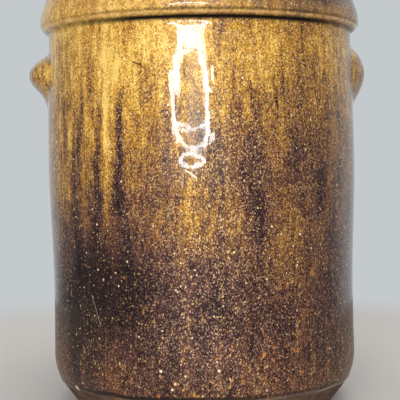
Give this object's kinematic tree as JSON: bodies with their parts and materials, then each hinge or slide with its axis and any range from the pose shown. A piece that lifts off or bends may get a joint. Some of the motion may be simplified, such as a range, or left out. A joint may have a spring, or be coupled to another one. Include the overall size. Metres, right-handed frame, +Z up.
{
  "type": "stoneware pickling jar",
  "caption": "Straight-sided brown-glazed stoneware jar with a heavy collar rim, small ears below it, an open mouth and a bevelled unglazed foot, for pickles or preserves.",
  "frame": {"origin": "middle of the flat base that the jar stands on", "axes": "+Z up along the jar's axis to the mouth, the two ears on the X axis"},
  "size_m": [0.1888, 0.176, 0.231],
  "materials": {
    "glaze": "glossy"
  },
  "bodies": {
    "root": {"jar": "glaze"}
  },
  "joints": []
}
